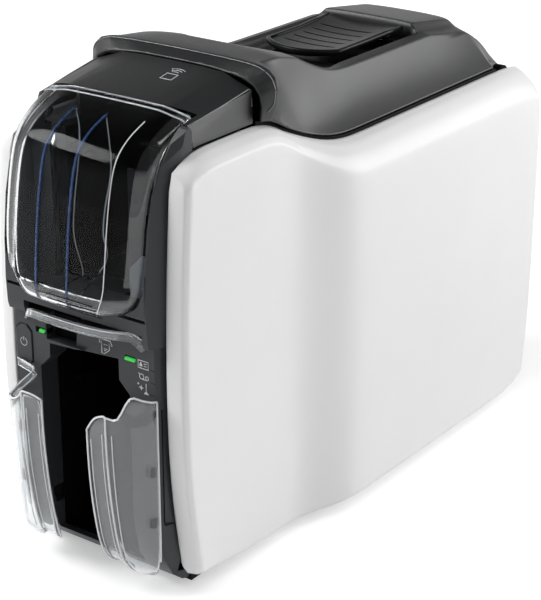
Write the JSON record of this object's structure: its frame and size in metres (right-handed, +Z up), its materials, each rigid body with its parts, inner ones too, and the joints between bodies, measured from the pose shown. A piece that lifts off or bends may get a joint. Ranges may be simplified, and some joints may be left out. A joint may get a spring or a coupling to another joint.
{
  "type": "id card printer",
  "caption": "Desktop printer for plastic identity cards with a lift-up lid, a clear feeder door and clear output wings.",
  "frame": {"origin": "on the table, under the centre of the bounding box", "axes": "+X to the right side seen from the front, +Y to the back, +Z up"},
  "size_m": [0.154, 0.374, 0.2765],
  "materials": {
    "white_shell": "satin white ABS",
    "black_shell": "fine-textured black ABS",
    "dark_bezel": "smooth dark grey ABS",
    "inner_black": "plain black moulding",
    "clear_cover": "clear polycarbonate",
    "smoked_wing": "clear polycarbonate",
    "rubber_feet": "black rubber",
    "sleeve_rubber": "ground rubber",
    "sheet_steel": "zinc-plated sheet",
    "shaft_steel": "ground steel",
    "screw_steel": "zinc-plated steel",
    "heatsink": "extruded aluminium",
    "head_ceramic": "glazed ceramic",
    "acetal": "natural acetal",
    "cartridge_grey": "grey moulding",
    "film_violet": "dye film",
    "clean_gum": "tacky polyurethane",
    "belt_rubber": "moulded rubber",
    "motor_can": "zinc-plated can",
    "board_green": "solder mask",
    "status_green": "lit light pipe",
    "button_dark": "smooth dark grey ABS"
  },
  "bodies": {
    "chassis": {"base_tray": "inner_black", "feet": "rubber_feet", "side_frame_left": "sheet_steel", "side_frame_right": "sheet_steel", "frame_screws": "screw_steel", "side_panel_left": "white_shell", "side_panel_right": "white_shell", "deck_rim": "inner_black", "rear_panel": "black_shell", "lower_bezel": "dark_bezel", "door_surround": "dark_bezel", "front_cap": "black_shell", "slot_guide": "clear_cover", "status_light_left": "status_green", "status_light_right": "status_green", "button_switch": "board_green", "hopper_bin": "inner_black", "output_bin": "inner_black", "output_wing_left": "smoked_wing", "output_wing_right": "smoked_wing", "hinge_pins": "shaft_steel", "cartridge_frame": "cartridge_grey", "ribbon_film": "film_violet", "shaft_bushes": "acetal", "drive_belt": "belt_rubber", "transport_motor": "motor_can", "ribbon_motor": "motor_can", "main_board": "board_green", "usb_socket": "screw_steel", "network_socket": "screw_steel", "power_inlet": "inner_black"},
    "lid": {"lid_shell": "black_shell", "lid_frame": "inner_black", "pad_dish": "black_shell", "pad_pin": "shaft_steel", "head_bracket": "inner_black", "head_heatsink": "heatsink", "printhead": "head_ceramic"},
    "pad": {"release_pad": "black_shell"},
    "latch": {"latch_bail": "shaft_steel"},
    "door": {"feeder_door": "clear_cover"},
    "weight": {"card_weight": "inner_black"},
    "button": {"power_button": "button_dark"},
    "pick_roller": {"pick_shaft": "shaft_steel", "pick_tyre": "sleeve_rubber"},
    "infeed_roller": {"infeed_shaft": "shaft_steel", "infeed_sleeve": "sleeve_rubber"},
    "platen_roller": {"platen_shaft": "shaft_steel", "platen_sleeve": "sleeve_rubber"},
    "outfeed_roller": {"outfeed_shaft": "shaft_steel", "outfeed_sleeve": "sleeve_rubber"},
    "cleaner": {"cleaning_roller": "clean_gum"},
    "motor_rotor": {"motor_shaft": "shaft_steel"},
    "supply_reel": {"supply_spool": "acetal", "supply_roll": "film_violet"},
    "takeup_reel": {"takeup_spool": "acetal", "takeup_roll": "film_violet"}
  },
  "joints": [
    {"name": "lid_hinge", "type": "hinge", "parent": "chassis", "child": "lid", "pos_m": [0, 0.166, 0.216], "axis": [-1, 0, 0], "range_deg": [0, 80]},
    {"name": "pad_press", "type": "hinge", "parent": "lid", "child": "pad", "pos_m": [0, 0.0916, 0.2478], "axis": [1, 0, 0], "range_deg": [0, 3], "stiffness_Nm_per_rad": 0.6, "springref_deg": -5.73},
    {"name": "latch_turn", "type": "hinge", "parent": "lid", "child": "latch", "pos_m": [0, 0.0496, 0.2316], "axis": [1, 0, 0], "range_deg": [0, 18]},
    {"name": "door_hinge", "type": "hinge", "parent": "chassis", "child": "door", "pos_m": [0, -0.134, 0.251], "axis": [-1, 0, 0], "range_deg": [0, 70]},
    {"name": "weight_slide", "type": "slide", "parent": "chassis", "child": "weight", "axis": [0, 0, 1], "range_m": [0, 0.062]},
    {"name": "button_press", "type": "slide", "parent": "chassis", "child": "button", "axis": [0, 1, 0], "range_m": [0, 0.0012], "stiffness_N_per_m": 800, "springref_m": -0.001},
    {"name": "platen_spin", "type": "hinge", "parent": "chassis", "child": "platen_roller", "pos_m": [0, 0.0156, 0.155], "axis": [1, 0, 0], "continuous": true},
    {"name": "pick_spin", "type": "hinge", "parent": "chassis", "child": "pick_roller", "pos_m": [0, -0.0724, 0.1526], "axis": [1, 0, 0], "continuous": true},
    {"name": "infeed_spin", "type": "hinge", "parent": "chassis", "child": "infeed_roller", "pos_m": [0, -0.0344, 0.155], "axis": [1, 0, 0], "continuous": true},
    {"name": "outfeed_spin", "type": "hinge", "parent": "chassis", "child": "outfeed_roller", "pos_m": [0, 0.0606, 0.155], "axis": [1, 0, 0], "continuous": true},
    {"name": "cleaner_spin", "type": "hinge", "parent": "chassis", "child": "cleaner", "pos_m": [0, -0.0344, 0.17206], "axis": [1, 0, 0], "continuous": true},
    {"name": "motor_spin", "type": "hinge", "parent": "chassis", "child": "motor_rotor", "pos_m": [0, -0.0104, 0.105], "axis": [1, 0, 0], "continuous": true},
    {"name": "supply_spin", "type": "hinge", "parent": "chassis", "child": "supply_reel", "pos_m": [0, 0.0666, 0.202], "axis": [1, 0, 0], "continuous": true},
    {"name": "takeup_spin", "type": "hinge", "parent": "chassis", "child": "takeup_reel", "pos_m": [0, -0.0294, 0.202], "axis": [1, 0, 0], "continuous": true}
  ],
  "couplings": [
    {"joint": "latch_turn", "follows": "pad_press", "ratio": 6},
    {"joint": "pick_spin", "follows": "platen_spin", "ratio": 0.73034},
    {"joint": "infeed_spin", "follows": "platen_spin", "ratio": 1},
    {"joint": "outfeed_spin", "follows": "platen_spin", "ratio": 1},
    {"joint": "cleaner_spin", "follows": "platen_spin", "ratio": -1},
    {"joint": "motor_spin", "follows": "platen_spin", "ratio": 1.3},
    {"joint": "takeup_spin", "follows": "supply_spin", "ratio": 1.4167}
  ]
}
